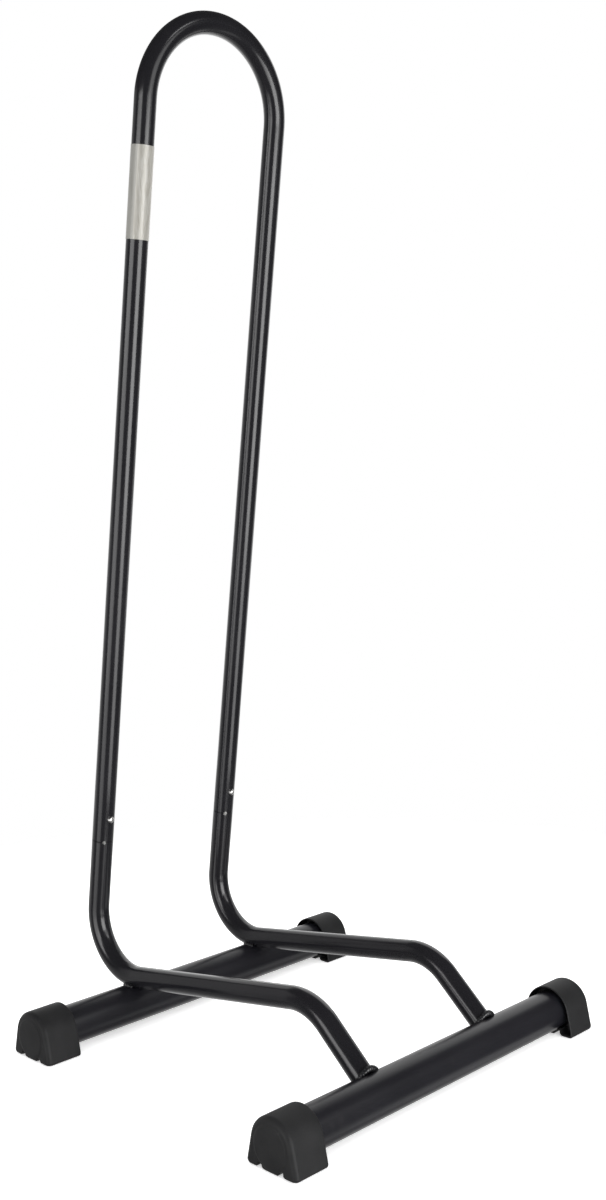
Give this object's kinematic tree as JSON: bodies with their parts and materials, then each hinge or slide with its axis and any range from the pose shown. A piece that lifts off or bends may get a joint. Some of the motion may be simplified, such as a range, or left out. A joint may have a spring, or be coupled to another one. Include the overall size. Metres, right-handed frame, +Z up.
{
  "type": "bicycle wheel floor stand",
  "caption": "Free-standing black tube stand for a bicycle wheel: lift-off loop on bent legs, welded to crossbars with rubber end caps.",
  "frame": {"origin": "on the floor, in the middle of the stand's width and depth", "axes": "+Z up, +X along the crossbars to the right as seen from the front, -Y to the front, where the wheel rolls in and towards which the loop leans"},
  "size_m": [0.308, 0.3203, 0.7413],
  "materials": {
    "leg_coat": "gloss black powder coat",
    "crossbar_coat": "satin black powder coat",
    "coated_weld": "powder coated over a rippled bead",
    "cap_rubber": "matt moulded",
    "button_steel": "polished",
    "spring_steel": "plain spring steel",
    "label_film": "satin film, bare"
  },
  "bodies": {
    "stand": {"upper_loop": "leg_coat", "lower_leg_left": "leg_coat", "lower_leg_right": "leg_coat", "rear_crossbar": "crossbar_coat", "front_crossbar": "crossbar_coat", "cap_rear_left": "cap_rubber", "cap_rear_right": "cap_rubber", "cap_front_left": "cap_rubber", "cap_front_right": "cap_rubber", "button_spring_left": "spring_steel", "button_spring_right": "spring_steel", "loop_label": "label_film", "weld_front_left": "coated_weld", "weld_front_right": "coated_weld", "weld_rear_left_outer": "coated_weld", "weld_rear_left_inner": "coated_weld", "weld_rear_right_inner": "coated_weld", "weld_rear_right_outer": "coated_weld"},
    "button_left": {"snap_button_left": "button_steel"},
    "button_right": {"snap_button_right": "button_steel"}
  },
  "joints": [
    {"name": "button_left_press", "type": "slide", "parent": "stand", "child": "button_left", "axis": [0, 0.9898, 0.1426], "range_m": [0, 0.004], "stiffness_N_per_m": 2500, "springref_m": -0.001, "deforming": ["button_spring_left"]},
    {"name": "button_right_press", "type": "slide", "parent": "stand", "child": "button_right", "axis": [0, 0.9898, 0.1426], "range_m": [0, 0.004], "stiffness_N_per_m": 2500, "springref_m": -0.001, "deforming": ["button_spring_right"]}
  ]
}
